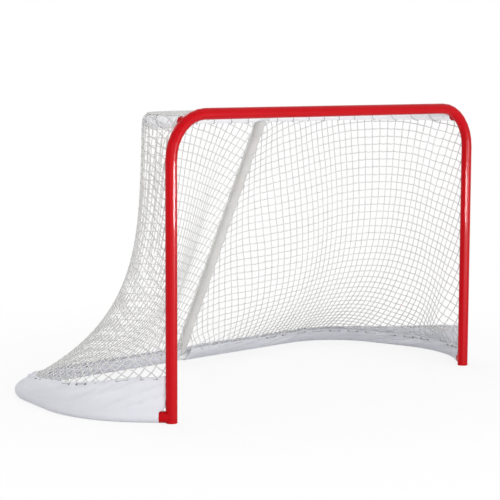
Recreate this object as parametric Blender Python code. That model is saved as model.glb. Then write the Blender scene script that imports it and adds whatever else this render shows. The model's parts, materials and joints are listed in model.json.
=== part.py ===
"""Street hockey goal: a bolted tube frame with a hung net, a ground skirt and a padded strut.

Metres, +Z up. X runs along the crossbar and the goal mouth faces -Y.
The origin lies on the ground, at the middle of the goal's bounding box.
Pieces are modelled from the middle of the mouth, and the root empty carries them all.
"""

import math

import bmesh
import bpy
from mathutils import Matrix, Vector

# Mouth
OPENING_WIDTH = 1.8288
OPENING_HEIGHT = 1.2192
POST_DIAMETER = 0.048
POST_WALL = 0.002
CORNER_RADIUS = 0.184

# Crossbar joints
POST_ARM_LENGTH = 0.075
SPIGOT_END_GAP = 0.003
CROSSBAR_BOLT_SETBACK = 0.016

# Ground frame, seen from above: the side run bulges past the post and turns in to the rear run
TUBE_DIAMETER = 0.042
TUBE_WALL = 0.0018
BASE_DEPTH = 1.02
BASE_BULGE = 0.262
BASE_BULGE_DEPTH = 0.30
BASE_BULGE_RADIUS = 0.50
BASE_CORNER_BULGE = 0.112
BASE_CORNER_RADIUS = 0.34
BASE_REAR_LENGTH = 0.50
BASE_SPIGOT_LENGTH = 0.16

# Top shelf frame, welded to the bends of the posts a little below the crossbar
TOP_DROP = 0.0332
TOP_DEPTH = 0.44
TOP_BEND_SETBACK = 0.035
TOP_REAR_LENGTH = 0.50
TOP_SPIGOT_LENGTH = 0.14

# Sockets on the posts
FOOT_SOCKET_REACH = 0.050
TOP_SOCKET_REACH = 0.060
SOCKET_WALL = 0.0027
FOOT_PLUG_HEIGHT = 0.022

# Centre strut and its pad
STRUT_DIAMETER = 0.038
STRUT_WALL = 0.0018
STRUT_STUB_LENGTH = 0.085
PAD_DIAMETER = 0.056
PAD_CLEARANCE = 0.003

# Fabric
SKIRT_THICKNESS = 0.002
SKIRT_SLACK = 0.001
SKIRT_SEAM_LENGTH = 0.006
SKIRT_FLAT_ANGLE = math.radians(12.0)
SKIRT_SHOULDER_STEPS = 2
SKIRT_ARC_STEPS = 4
LACE_INSET = 0.070
LACE_HEIGHT_POST = 0.190
LACE_HEIGHT_REAR = 0.090
LACE_FALL_POWER = 1.5
SLEEVE_DIAMETER = 0.055

# Net
NET_CORD = 0.004
NET_ROWS = 8
SIDE_NET_COLUMNS = 6
BACK_NET_COLUMNS = 7
TOP_NET_COLUMNS = 14
TOP_NET_ROWS = 3
TOP_NET_GATHER = math.radians(65.0)
NET_FLARE_POWER = 3.6
NET_POST_POWER = 4.0
NET_POST_SHARE = 0.45
NET_STRUT_SHARE = 0.60
SEAM_GAP = 0.0008

# Bolts and welded nuts
BOLT_RADIUS = 0.003
BOLT_HEAD_RADIUS = 0.0065
BOLT_HEAD_HEIGHT = 0.0035
BOLT_DOME_ANGLES = (math.radians(25.0), math.radians(52.0), math.radians(76.0))
BOLT_HOLE_CLEARANCE = 0.0006
BOLT_TAIL = 0.003
NUT_SIDES = 6
NUT_WIDTH = 0.010
NUT_HEIGHT = 0.005
NUT_RELIEF = 0.0012

# Fits and facets
FIT = 0.0003
TOUCH = 0.0003
POST_SIDES = 20
TUBE_SIDES = 16
BOLT_SIDES = 12
ARC_STEP = math.radians(11.5)
SMOOTH_ANGLE = math.radians(35.0)

# Sizes that follow
POST_RADIUS = POST_DIAMETER / 2
TUBE_RADIUS = TUBE_DIAMETER / 2
STRUT_RADIUS = STRUT_DIAMETER / 2
PAD_RADIUS = PAD_DIAMETER / 2
SLEEVE_RADIUS = SLEEVE_DIAMETER / 2
SOCKET_RADIUS = TUBE_RADIUS + FIT + SOCKET_WALL
BOLT_HOLE_RADIUS = BOLT_RADIUS + BOLT_HOLE_CLEARANCE
SKIRT_RADIUS = TUBE_RADIUS + SKIRT_SLACK + SKIRT_THICKNESS
POST_X = OPENING_WIDTH / 2 + POST_RADIUS
CROSSBAR_Z = OPENING_HEIGHT + POST_RADIUS
CROSSBAR_HALF = POST_X - CORNER_RADIUS - POST_ARM_LENGTH
BASE_Z = SKIRT_RADIUS
TOP_HEIGHT = CROSSBAR_Z - TOP_DROP
TOP_CORNER_RADIUS = TOP_DEPTH - TOP_SOCKET_REACH - TOP_BEND_SETBACK
MOUTH_Y = (POST_RADIUS - BASE_DEPTH - SKIRT_RADIUS) / 2
HALF_GAP_AT_STRUT = PAD_RADIUS + PAD_CLEARANCE

UP = Vector((0, 0, 1))
BACK = Vector((0, 1, 0))
ACROSS = Vector((1, 0, 0))
SIDES = {"left": -1, "right": 1}


def clear_scene():
    for old in list(bpy.data.objects):
        bpy.data.objects.remove(old, do_unlink=True)


def make_material(name, colour, roughness, metallic):
    material = bpy.data.materials.new(name)
    material.use_nodes = True
    shader = material.node_tree.nodes["Principled BSDF"]
    shader.inputs["Base Color"].default_value = (*colour, 1.0)
    shader.inputs["Roughness"].default_value = roughness
    shader.inputs["Metallic"].default_value = metallic
    material.diffuse_color = (*colour, 1.0)
    return material


def add_object(name, bm, material):
    """Close a bmesh into a named object that hangs from the root empty."""
    bmesh.ops.recalc_face_normals(bm, faces=bm.faces[:])
    mesh = bpy.data.meshes.new(name)
    bm.to_mesh(mesh)
    bm.free()
    mesh.materials.append(material)
    mesh.shade_smooth()
    mesh.set_sharp_from_angle(angle=SMOOTH_ANGLE)
    piece = bpy.data.objects.new(name, mesh)
    bpy.context.scene.collection.objects.link(piece)
    piece.parent = ROOT
    return piece


def skin(bm, loops):
    """Join closed loops of points with quads, and return the rows of vertices."""
    rows = [[bm.verts.new(point) for point in loop] for loop in loops]
    for row, following in zip(rows, rows[1:]):
        for index in range(len(row)):
            after = (index + 1) % len(row)
            bm.faces.new((row[index], row[after], following[after], following[index]))
    return rows


def join_rims(bm, outer, inner):
    for index in range(len(outer)):
        after = (index + 1) % len(outer)
        bm.faces.new((outer[index], outer[after], inner[after], inner[index]))


def shell_mesh(outer_loops, inner_loops):
    """A swept wall that is open at both ends."""
    bm = bmesh.new()
    outer = skin(bm, outer_loops)
    inner = skin(bm, inner_loops)
    join_rims(bm, outer[0], inner[0])
    join_rims(bm, outer[-1], inner[-1])
    return bm


def solid_mesh(loops):
    bm = bmesh.new()
    rows = skin(bm, loops)
    bm.faces.new(rows[0])
    bm.faces.new(rows[-1])
    return bm


def circle(station, radius, sides, lift):
    """A ring of points square to a station's direction."""
    point, direction = station
    sideways = direction.cross(lift).normalized()
    turns = [2 * math.pi * index / sides for index in range(sides)]
    return [point + radius * (math.cos(turn) * sideways + math.sin(turn) * lift) for turn in turns]


def tube_mesh(path, radius, wall, sides, lift):
    outer = [circle(station, radius, sides, lift) for station in path]
    inner = [circle(station, radius - wall, sides, lift) for station in path]
    return shell_mesh(outer, inner)


def rod_mesh(path, radius, sides, lift):
    return solid_mesh([circle(station, radius, sides, lift) for station in path])


def straight(start, end):
    direction = (end - start).normalized()
    return [(start, direction), (end, direction)]


def rounded_path(corners, radii):
    """Stations along a polyline whose inner corners are bent to the given radii."""
    first = (corners[1] - corners[0]).normalized()
    path = [(corners[0], first)]
    for before, corner, after, radius in zip(corners, corners[1:], corners[2:], radii):
        arriving = (corner - before).normalized()
        leaving = (after - corner).normalized()
        turn = arriving.angle(leaving)
        cut = radius * math.tan(turn / 2)
        inward = (leaving - arriving).normalized()
        centre = corner + inward * radius / math.cos(turn / 2)
        spoke = corner - arriving * cut - centre
        axis = arriving.cross(leaving).normalized()
        steps = max(2, round(turn / ARC_STEP))
        for step in range(steps + 1):
            rotation = Matrix.Rotation(turn * step / steps, 3, axis)
            path.append((centre + rotation @ spoke, rotation @ arriving))
    last = (corners[-1] - corners[-2]).normalized()
    path.append((corners[-1], last))
    return path


def base_corners(side):
    foot = Vector((side * POST_X, 0, BASE_Z))
    bulge = Vector((side * (POST_X + BASE_BULGE), BASE_BULGE_DEPTH, BASE_Z))
    corner = Vector((side * (POST_X + BASE_CORNER_BULGE), BASE_DEPTH, BASE_Z))
    return foot, bulge, corner


def base_heading(side):
    foot, bulge, _ = base_corners(side)
    return (bulge - foot).normalized()


def base_path(side, start, end_x):
    """The ground frame's centre line, from a distance behind the post to end_x on the rear run."""
    foot, bulge, corner = base_corners(side)
    begin = foot + base_heading(side) * start
    end = Vector((side * end_x, BASE_DEPTH, BASE_Z))
    return rounded_path([begin, bulge, corner, end], [BASE_BULGE_RADIUS, BASE_CORNER_RADIUS])


def top_x():
    """Where the shelf height crosses the bend of the post."""
    rise = CORNER_RADIUS - TOP_DROP
    return POST_X - CORNER_RADIUS + math.sqrt(CORNER_RADIUS ** 2 - rise ** 2)


def top_path(side, start, end_x, height=TOP_HEIGHT):
    corners = [
        Vector((side * top_x(), start, height)),
        Vector((side * top_x(), TOP_DEPTH, height)),
        Vector((side * end_x, TOP_DEPTH, height)),
    ]
    return rounded_path(corners, [TOP_CORNER_RADIUS])


def strut_ends():
    return Vector((0, BASE_DEPTH, BASE_Z)), Vector((0, TOP_DEPTH, TOP_HEIGHT))


def strut_heading():
    foot, head = strut_ends()
    return (head - foot).normalized()


def distances(path):
    """Running length at each station."""
    total = [0.0]
    for (here, _), (there, _) in zip(path, path[1:]):
        total.append(total[-1] + (there - here).length)
    return total


def at_distance(path, total, distance):
    """The station at a distance along a path, with its direction blended."""
    for index in range(1, len(path)):
        if distance <= total[index] or index == len(path) - 1:
            share = (distance - total[index - 1]) / (total[index] - total[index - 1])
            point = path[index - 1][0].lerp(path[index][0], share)
            direction = path[index - 1][1].lerp(path[index][1], share).normalized()
            return point, direction
    return path[-1]


def nearest_distance(path, total, target):
    gaps = [(point - target).length for point, _ in path]
    return total[gaps.index(min(gaps))]


def ease(value):
    clipped = min(1.0, max(0.0, value))
    return clipped * clipped * (3 - 2 * clipped)


def lace_height(share):
    """Height of the lace line, from the post to the rear corner and level after it."""
    left = max(0.0, 1.0 - share)
    return LACE_HEIGHT_REAR + (LACE_HEIGHT_POST - LACE_HEIGHT_REAR) * left ** LACE_FALL_POWER


def outward(direction, side):
    """The level direction that leaves the goal, square to a path on one side."""
    return direction.cross(UP).normalized() * side


# Cutting and drilling


def hidden_cutter(name, bm):
    cutter = add_object(name, bm, STEEL)
    cutter.hide_render = True
    cutter.display_type = "WIRE"
    return cutter


def cut(piece, cutter):
    boolean = piece.modifiers.new("cut_" + cutter.name, "BOOLEAN")
    boolean.operation = "DIFFERENCE"
    boolean.solver = "EXACT"
    boolean.object = cutter


def square_to(axis):
    """A direction square to an upright or level axis, shared by a bolt, its hole and its nut."""
    lift = BACK if abs(axis.x) > abs(axis.z) else ACROSS
    return axis.cross(axis.cross(lift)).normalized()


def turned_mesh(profile, sides, start, axis):
    """Revolve (radius, distance) pairs about an axis, closed with a face at both ends."""
    rings = [
        circle((start + axis * away, axis), radius, sides, square_to(axis)) for radius, away in profile
    ]
    return solid_mesh(rings)


def bolt(name, centre, inward, outer_radius, bore_radius, walls):
    """A round-head bolt through tube walls into a nut, with its holes drilled in the walls."""
    seat = centre - inward * (outer_radius + TOUCH)
    shank = outer_radius - bore_radius + NUT_RELIEF + NUT_HEIGHT + BOLT_TAIL
    profile = [
        (BOLT_HEAD_RADIUS * math.sin(angle), -BOLT_HEAD_HEIGHT * math.cos(angle)) for angle in BOLT_DOME_ANGLES
    ]
    profile += [(BOLT_HEAD_RADIUS, 0.0), (BOLT_RADIUS, 0.0), (BOLT_RADIUS, shank)]
    add_object(name, turned_mesh(profile, BOLT_SIDES, seat, inward), STEEL)
    reach = outer_radius - bore_radius
    hole = [(BOLT_HOLE_RADIUS, -reach), (BOLT_HOLE_RADIUS, 2 * reach)]
    cutter = hidden_cutter(name + "_hole", turned_mesh(hole, BOLT_SIDES, seat, inward))
    for wall in walls:
        cut(wall, cutter)
    nut(name.replace("bolt", "nut"), centre, inward, bore_radius)


def nut(name, centre, inward, bore_radius):
    """A hexagon nut held against the inside of a tube."""
    near = -(bore_radius - NUT_RELIEF)
    stations = [(centre + inward * near, inward), (centre + inward * (near + NUT_HEIGHT), inward)]
    square = square_to(inward)
    corner_radius = NUT_WIDTH / 2 / math.cos(math.pi / NUT_SIDES)
    outer = []
    inner = []
    for station in stations:
        corners = circle(station, corner_radius, NUT_SIDES, square)
        flats = [corner.lerp(after, 0.5) for corner, after in zip(corners, corners[1:] + corners[:1])]
        outer.append([point for pair in zip(corners, flats) for point in pair])
        inner.append(circle(station, BOLT_RADIUS + FIT, BOLT_SIDES, square))
    add_object(name, shell_mesh(outer, inner), STEEL)


# Red front frame


def post_path(side):
    corners = [
        Vector((side * POST_X, 0, 0)),
        Vector((side * POST_X, 0, CROSSBAR_Z)),
        Vector((side * (CROSSBAR_HALF + TOUCH), 0, CROSSBAR_Z)),
    ]
    return rounded_path(corners, [CORNER_RADIUS])


def front_frame():
    level = Vector((0, 0, CROSSBAR_Z))
    crossbar_line = straight(level - ACROSS * CROSSBAR_HALF, level + ACROSS * CROSSBAR_HALF)
    add_object("crossbar", tube_mesh(crossbar_line, POST_RADIUS, POST_WALL, POST_SIDES, BACK), RED)
    inner_radius = POST_RADIUS - POST_WALL - FIT
    for label, side in SIDES.items():
        post = add_object(
            label + "_post", tube_mesh(post_path(side), POST_RADIUS, POST_WALL, POST_SIDES, BACK), RED
        )
        middle = level + ACROSS * side * CROSSBAR_HALF
        reach = ACROSS * (POST_ARM_LENGTH - SPIGOT_END_GAP)
        line = straight(middle - reach, middle + reach)
        spigot = add_object(
            label + "_crossbar_spigot", tube_mesh(line, inner_radius, POST_WALL, POST_SIDES, BACK), STEEL
        )
        bolt_point = middle + ACROSS * side * (POST_ARM_LENGTH - CROSSBAR_BOLT_SETBACK)
        bolt(label + "_crossbar_bolt", bolt_point, UP, POST_RADIUS, inner_radius - POST_WALL, [post, spigot])
        foot = Vector((side * POST_X, 0, 0))
        plug = straight(foot, foot + UP * FOOT_PLUG_HEIGHT)
        add_object(label + "_foot_plug", rod_mesh(plug, inner_radius, POST_SIDES, BACK), BLACK)


def post_round(label, side):
    """A cutter a little wider than the post, for what is welded against it."""
    path = post_path(side)
    path[0] = (path[0][0] - UP * POST_RADIUS, path[0][1])
    bm = rod_mesh(path, POST_RADIUS + TOUCH, POST_SIDES, BACK)
    return hidden_cutter(label + "_post_round", bm)


# White tube frame


def white_tube(name, path):
    return add_object(name, tube_mesh(path, TUBE_RADIUS, TUBE_WALL, TUBE_SIDES, UP), WHITE)


def socket_joint(name, centre, heading, reach, tube, inward, cutter):
    """A short socket welded to the post, and the bolt that holds a tube in it."""
    line = straight(centre, centre + heading * reach)
    socket = add_object(name + "_socket", tube_mesh(line, SOCKET_RADIUS, SOCKET_WALL, POST_SIDES, UP), RED)
    cut(socket, cutter)
    middle = centre + heading * (POST_RADIUS + reach) / 2
    bolt(name + "_bolt", middle, inward, SOCKET_RADIUS, TUBE_RADIUS - TUBE_WALL, [socket, tube])


def rear_run(name, centre, length, spigot_length):
    """The straight rear tube of a frame, with a spigot in the joint at each end."""
    half = ACROSS * length / 2
    white_tube("rear_" + name + "_tube", straight(centre - half, centre + half))
    spigot_radius = TUBE_RADIUS - TUBE_WALL - FIT
    reach = ACROSS * spigot_length / 2
    for label, side in SIDES.items():
        middle = centre + half * side
        line = straight(middle - reach, middle + reach)
        mesh = tube_mesh(line, spigot_radius, TUBE_WALL, TUBE_SIDES, UP)
        add_object(label + "_" + name + "_spigot", mesh, STEEL)


def tube_frame():
    start = POST_RADIUS + TOUCH + FIT
    for label, side in SIDES.items():
        cutter = post_round(label, side)
        foot = Vector((side * POST_X, 0, BASE_Z))
        base = white_tube(label + "_base_tube", base_path(side, start, BASE_REAR_LENGTH / 2 + TOUCH))
        socket_joint(label + "_foot", foot, base_heading(side), FOOT_SOCKET_REACH, base, -UP, cutter)
        shoulder = Vector((side * top_x(), 0, TOP_HEIGHT))
        shelf = white_tube(label + "_top_tube", top_path(side, start, TOP_REAR_LENGTH / 2 + TOUCH))
        socket_joint(label + "_top", shoulder, BACK, TOP_SOCKET_REACH, shelf, -ACROSS * side, cutter)
    foot, head = strut_ends()
    rear_run("base", foot, BASE_REAR_LENGTH, BASE_SPIGOT_LENGTH)
    rear_run("top", head, TOP_REAR_LENGTH, TOP_SPIGOT_LENGTH)


def strut():
    foot, head = strut_ends()
    heading = strut_heading()
    square = heading.cross(ACROSS).normalized()
    clear = TUBE_RADIUS + TOUCH
    strut_line = straight(foot + heading * clear, head - heading * clear)
    add_object("centre_strut", tube_mesh(strut_line, STRUT_RADIUS, STRUT_WALL, TUBE_SIDES, square), WHITE)
    stub_radius = STRUT_RADIUS - STRUT_WALL - FIT
    for name, centre, along in (("strut_foot_stub", foot, heading), ("strut_head_stub", head, -heading)):
        line = straight(centre, centre + along * STRUT_STUB_LENGTH)
        stub = add_object(name, tube_mesh(line, stub_radius, STRUT_WALL, TUBE_SIDES, square), STEEL)
        reach = ACROSS * STRUT_STUB_LENGTH
        tube_line = straight(centre - reach, centre + reach)
        cutter = hidden_cutter(name + "_round", rod_mesh(tube_line, clear, TUBE_SIDES, UP))
        cut(stub, cutter)
    pad_wall = PAD_RADIUS - STRUT_RADIUS - FIT
    pad_line = straight(foot + heading * (clear + FIT), head - heading * (clear + FIT))
    add_object("strut_pad", tube_mesh(pad_line, PAD_RADIUS, pad_wall, TUBE_SIDES, square), VINYL)


# Fabric on the tubes


def skirt_profile(height):
    """Outline round the ground tube and up to the lace line, as (outward, height) pairs."""
    apex = Vector((-LACE_INSET, height))
    away = math.hypot(LACE_INSET, height - BASE_Z)
    lean = math.atan2(height - BASE_Z, -LACE_INSET)
    spread = math.acos(SKIRT_RADIUS / away)
    flat = SKIRT_FLAT_ANGLE
    half_floor = SKIRT_RADIUS * math.sin(flat)
    shoulder = skirt_arc(lean - spread, 0.0, SKIRT_SHOULDER_STEPS)
    outer = skirt_arc(0.0, flat - math.pi / 2, SKIRT_ARC_STEPS)
    inner = skirt_arc(-math.pi / 2 - flat, lean + spread - 2 * math.pi, SKIRT_ARC_STEPS)
    floor = [(half_floor, BASE_Z - SKIRT_RADIUS), (-half_floor, BASE_Z - SKIRT_RADIUS)]
    outline = shoulder + outer[1:-1] + floor + inner[1:]
    rise_inside = (Vector(outline[-1]) - apex).normalized()
    rise_outside = (Vector(outline[0]) - apex).normalized()
    seam = [apex + rise * SKIRT_SEAM_LENGTH for rise in (rise_inside, rise_outside)]
    return outline + [tuple(point) for point in seam]


def skirt_arc(start, end, steps):
    turns = [start + (end - start) * step / steps for step in range(steps + 1)]
    return [(SKIRT_RADIUS * math.cos(turn), BASE_Z + SKIRT_RADIUS * math.sin(turn)) for turn in turns]


def place(profile, station, side, scale):
    """Stand a flat profile square to a path, scaled about the tube's centre."""
    point, direction = station
    away = outward(direction, side)
    return [
        point + away * (offset * scale) + UP * ((height - BASE_Z) * scale)
        for offset, height in profile
    ]


def skirts():
    inner_scale = (SKIRT_RADIUS - SKIRT_THICKNESS) / SKIRT_RADIUS
    for label, side in SIDES.items():
        path = base_path(side, FOOT_SOCKET_REACH + TOUCH, HALF_GAP_AT_STRUT)
        total = distances(path)
        corner = nearest_distance(path, total, base_corners(side)[2])
        outer = []
        inner = []
        for station, distance in zip(path, total):
            profile = skirt_profile(lace_height(distance / corner))
            outer.append(place(profile, station, side, 1.0))
            inner.append(place(profile, station, side, inner_scale))
        add_object(label + "_skirt", shell_mesh(outer, inner), VINYL)
        path = top_path(side, TOP_SOCKET_REACH + TOUCH, HALF_GAP_AT_STRUT)
        wall = SLEEVE_RADIUS - TUBE_RADIUS - SKIRT_SLACK
        add_object(label + "_top_sleeve", tube_mesh(path, SLEEVE_RADIUS, wall, TUBE_SIDES, UP), VINYL)


# Net


def cord_lattice(name, grid):
    """Turn a grid of points into cords: each cell is inset, its middle removed, and the rest thickened."""
    bm = bmesh.new()
    rows = [[bm.verts.new(point) for point in row] for row in grid]
    cells = []
    for row, following in zip(rows, rows[1:]):
        for index in range(len(row) - 1):
            cells.append(bm.faces.new((row[index], row[index + 1], following[index + 1], following[index])))
    bmesh.ops.recalc_face_normals(bm, faces=bm.faces[:])
    bmesh.ops.inset_individual(bm, faces=cells, thickness=NET_CORD / 2, use_even_offset=True)
    bmesh.ops.delete(bm, geom=cells, context="FACES_ONLY")
    mesh = bpy.data.meshes.new(name)
    bm.to_mesh(mesh)
    bm.free()
    mesh.materials.append(CORD)
    net = bpy.data.objects.new(name, mesh)
    bpy.context.scene.collection.objects.link(net)
    net.parent = ROOT
    thicken = net.modifiers.new("cord_thickness", "SOLIDIFY")
    thicken.thickness = NET_CORD
    thicken.offset = 0.0
    thicken.use_even_offset = True
    return net


def lace_point(path, total, corner, distance, side):
    """A point on the lace line, just above the skirt's seam."""
    point, direction = at_distance(path, total, distance)
    height = lace_height(distance / corner) + NET_CORD / 2 + SEAM_GAP
    spot = point - outward(direction, side) * LACE_INSET
    return Vector((spot.x, spot.y, height))


def net_point(top, bottom, drop, across_share, back_share):
    return Vector((
        top.x + (bottom.x - top.x) * across_share,
        top.y + (bottom.y - top.y) * back_share,
        top.z + (bottom.z - top.z) * drop,
    ))


def side_fall(share, drop):
    """How far a side net has swung out at a drop: held by the post in front, hanging free behind."""
    free = drop ** NET_FLARE_POWER
    held = 1 - (1 - drop) ** NET_POST_POWER
    blend = ease(share / NET_POST_SHARE)
    return held + (free - held) * blend, free


def back_fall(share, drop):
    """A back net hangs free at the corner and lies straight along the strut."""
    blend = ease((share - 1 + NET_STRUT_SHARE) / NET_STRUT_SHARE)
    swing = drop ** (NET_FLARE_POWER + (1 - NET_FLARE_POWER) * blend)
    return swing, swing


def hung_nets():
    hem = TOP_HEIGHT - SLEEVE_RADIUS - SEAM_GAP
    for label, side in SIDES.items():
        low = base_path(side, FOOT_SOCKET_REACH + TOUCH, HALF_GAP_AT_STRUT + NET_CORD)
        low_total = distances(low)
        low_corner = nearest_distance(low, low_total, base_corners(side)[2])
        high = top_path(side, POST_RADIUS + SEAM_GAP + NET_CORD / 2, HALF_GAP_AT_STRUT + NET_CORD, hem)
        high_total = distances(high)
        shelf_corner = Vector((side * top_x(), TOP_DEPTH, hem))
        high_corner = nearest_distance(high, high_total, shelf_corner)
        panels = {
            "_side_net": (0.0, high_corner - SEAM_GAP, 0.0, low_corner - SEAM_GAP, SIDE_NET_COLUMNS, side_fall),
            "_back_net": (
                high_corner + NET_CORD,
                high_total[-1],
                low_corner + NET_CORD,
                low_total[-1],
                BACK_NET_COLUMNS,
                back_fall,
            ),
        }
        for ending, (high_start, high_end, low_start, low_end, columns, fall) in panels.items():
            grid = []
            for row in range(NET_ROWS + 1):
                drop = row / NET_ROWS
                line = []
                for column in range(columns + 1):
                    share = column / columns
                    top, _ = at_distance(high, high_total, high_start + (high_end - high_start) * share)
                    distance = low_start + (low_end - low_start) * share
                    bottom = lace_point(low, low_total, low_corner, distance, side)
                    line.append(net_point(top, bottom, drop, *fall(share, drop)))
                grid.append(line)
            cord_lattice(label + ending, grid)


def top_net():
    """A flat net from the crossbar to the top of the shelf's sleeves."""
    height = TOP_HEIGHT + SLEEVE_RADIUS + SEAM_GAP + NET_CORD / 2
    front = POST_RADIUS + SEAM_GAP
    bend_x = top_x() - TOP_CORNER_RADIUS
    bend_y = TOP_DEPTH - TOP_CORNER_RADIUS
    grid = []
    for row in range(TOP_NET_ROWS + 1):
        line = []
        for column in range(TOP_NET_COLUMNS + 1):
            share = 2 * column / TOP_NET_COLUMNS - 1
            x = top_x() * math.sin(share * TOP_NET_GATHER) / math.sin(TOP_NET_GATHER)
            past = max(0.0, abs(x) - bend_x)
            rear = bend_y + math.sqrt(max(0.0, TOP_CORNER_RADIUS ** 2 - past ** 2))
            line.append(Vector((x, front + (rear - front) * row / TOP_NET_ROWS, height)))
        grid.append(line)
    cord_lattice("top_net", grid)


clear_scene()
RED = make_material("red_enamel", (0.66, 0.012, 0.02), 0.22, 0.0)
WHITE = make_material("white_powder_coat", (0.82, 0.82, 0.82), 0.4, 0.0)
VINYL = make_material("white_cover_cloth", (0.80, 0.81, 0.85), 0.7, 0.0)
CORD = make_material("white_net_cord", (0.86, 0.85, 0.82), 0.8, 0.0)
STEEL = make_material("zinc_steel", (0.55, 0.56, 0.58), 0.35, 1.0)
BLACK = make_material("black_plastic", (0.02, 0.02, 0.02), 0.5, 0.0)
ROOT = bpy.data.objects.new("goal", None)
ROOT.location = (0, MOUTH_Y, 0)
bpy.context.scene.collection.objects.link(ROOT)
front_frame()
tube_frame()
strut()
skirts()
hung_nets()
top_net()
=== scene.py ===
"""Street hockey goal: finishes, fine net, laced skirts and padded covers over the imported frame.

Metres, in the frame's own axes: X along the crossbar, the mouth facing -Y, +Z up.
"""

import json
import math

import bpy
from mathutils import Matrix, Vector, noise


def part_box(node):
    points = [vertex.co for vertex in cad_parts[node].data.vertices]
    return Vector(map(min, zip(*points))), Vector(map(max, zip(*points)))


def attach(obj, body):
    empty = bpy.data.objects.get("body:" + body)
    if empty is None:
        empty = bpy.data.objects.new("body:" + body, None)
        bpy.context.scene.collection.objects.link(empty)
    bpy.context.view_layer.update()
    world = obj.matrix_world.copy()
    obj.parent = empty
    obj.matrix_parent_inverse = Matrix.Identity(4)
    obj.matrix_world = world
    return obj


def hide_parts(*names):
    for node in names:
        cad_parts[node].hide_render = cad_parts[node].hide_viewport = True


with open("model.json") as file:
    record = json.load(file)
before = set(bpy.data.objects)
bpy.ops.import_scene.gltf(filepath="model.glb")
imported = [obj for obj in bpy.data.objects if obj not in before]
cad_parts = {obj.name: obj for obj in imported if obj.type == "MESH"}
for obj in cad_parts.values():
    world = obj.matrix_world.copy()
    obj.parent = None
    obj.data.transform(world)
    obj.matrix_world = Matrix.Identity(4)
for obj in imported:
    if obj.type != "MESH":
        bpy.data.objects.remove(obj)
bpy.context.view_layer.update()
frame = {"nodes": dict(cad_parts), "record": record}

# Camera
CAMERA_PLACE = Vector((-5.1061, -5.2688, 1.417))
CAMERA_YAW = 0.769
CAMERA_PITCH = -0.1122
CAMERA_ROLL = 0.0035
CAMERA_FOCAL_PIXELS = 1591.8
PICTURE_PIXELS = 500
SENSOR_WIDTH = 36.0

# Ground frame, as the steel tubes are bent
BASE_BULGE = 0.262
BASE_BULGE_DEPTH = 0.30
BASE_BULGE_RADIUS = 0.50
BASE_CORNER_BULGE = 0.112
BASE_CORNER_RADIUS = 0.34
FOOT_SOCKET_REACH = 0.050
TOP_SOCKET_REACH = 0.060
TOP_BEND_SETBACK = 0.035
BEND_STEP = math.radians(3.0)
JOINT_GAP = 0.0003

# Cloth
CLOTH_THICKNESS = 0.0012
CLOTH_LET_THROUGH = 0.40
CLOTH_GLOW = (0.9125, 0.9175, 0.955, 1.0)

# Skirts
LACE_INSET = 0.070
LACE_INSET_POST = 0.012
LACE_INSET_RUN = 0.16
LACE_HEIGHT_POST = 0.190
LACE_HEIGHT_REAR = 0.080
LACE_FALL_POWER = 1.5
INNER_HEIGHT_POST = 0.088
INNER_HEIGHT_REAR = 0.068
INNER_FALL_RUN = 0.25
FRONT_RUN = 0.12
FRONT_GAP = 0.001
FRONT_NOTCH_RISE = 0.012
SKIRT_STEP = 0.010
SKIRT_EDGE_GAP = 0.0024
SKIRT_SLOPE_STEPS = 18
SKIRT_TURN_STEPS = 16
SWELL_DEPTH = 0.013
CREASE_DEPTH = 0.0075
CREASE_SHARPNESS = 5.0
CREASE_PITCH = 7.0
CREASE_SLANT = 2.3
SWELL_ALONG, SWELL_UP = 0.7, 0.8
CREASE_ALONG, CREASE_UP = 1.6, 0.9
FLAPS_APART = 5.0
SWELLS_APART = 3.0
CREASES_APART = 7.0
SWAY_POWER = 0.7
PUCKER_DEPTH = 0.0012

# Covers
COVER_STEP = 0.010
COVER_SIDES = 32
COVER_SLACK = 0.001
COVER_END_ROUND = 0.004
COVER_UNEVEN = 0.0012
COVER_LUMPS_ALONG = 9.0
COVER_LUMPS_AROUND = 1.5
PAD_CLEARANCE = 0.003
PAD_COVER_SHARE = 0.91
CUFF_STEPS = 12
CUFF_SIDES = 64
CUFF_BULGE = 0.0022
CUFF_BULGE_SPREAD = 0.009

# Eyelets and lacing
EYELET_PITCH = 0.057
EYELET_DROP = 0.011
EYELET_RADIUS = 0.0038
EYELET_BEAD = 0.0013
EYELET_SIDES = 12
EYELET_BEAD_SIDES = 6
LACE_RADIUS = 0.0014
LACE_SMOOTH_STEPS = 5
WINDING_STEPS = 14
SHELF_LOOP_PITCH = 0.034
SHELF_LOOP_WIDTH = 0.012
SHELF_LOOP_RADIUS = 0.0017
SHELF_LOOP_STEPS = 10
SHELF_LOOP_SWING = 0.35
SHELF_LOOP_REST = 0.6
SHELF_LACE_PITCH = 0.104
STRUT_LACE_PITCH = 0.095

# Net
CORD_SIDES = 6
LEVEL_CORD_SIDES = 5
NET_CORD = 0.0046
NET_KNOT = 0.0074
NET_PITCH = 0.037
SIDE_NET_FAN = math.radians(26.0)
BACK_NET_FAN = math.radians(24.0)
NET_STEPS_ACROSS = 40
NET_STEPS_DOWN = 60
NET_UNEVEN = 0.0035
NET_COLUMN_JOG, NET_ROW_JOG = 0.71, 0.57
NETS_APART = 9.0
NET_ROWS_OVER = 2
NET_KNOTS_OVER = 12
NET_WIDTH_MOST = 1.4
NET_KNOT_BEFORE = 0.28
NET_KNOT_AFTER = 0.14
TOP_NET_SAG = 0.004
TOP_NET_JOG = 19.0
TOP_NET_APART = 4.0
NET_FLARE_POWER = 3.9
NET_FLARE_LINEAR = 0.06
NET_POST_BLEND = 0.06
NET_POST_SHARE = 0.45
NET_WRAP_TURN = math.radians(75.0)
NET_WRAP_STEPS = 4
NET_TUCK_STEPS = 4
NET_STRUT_SHARE = 0.60
NET_LACED_SHARE = 0.25
NET_LACED_DROP = 0.06
SEAM_GAP = 0.0008
HEM_CORD = 0.005
HEM_STEP = 0.02
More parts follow.
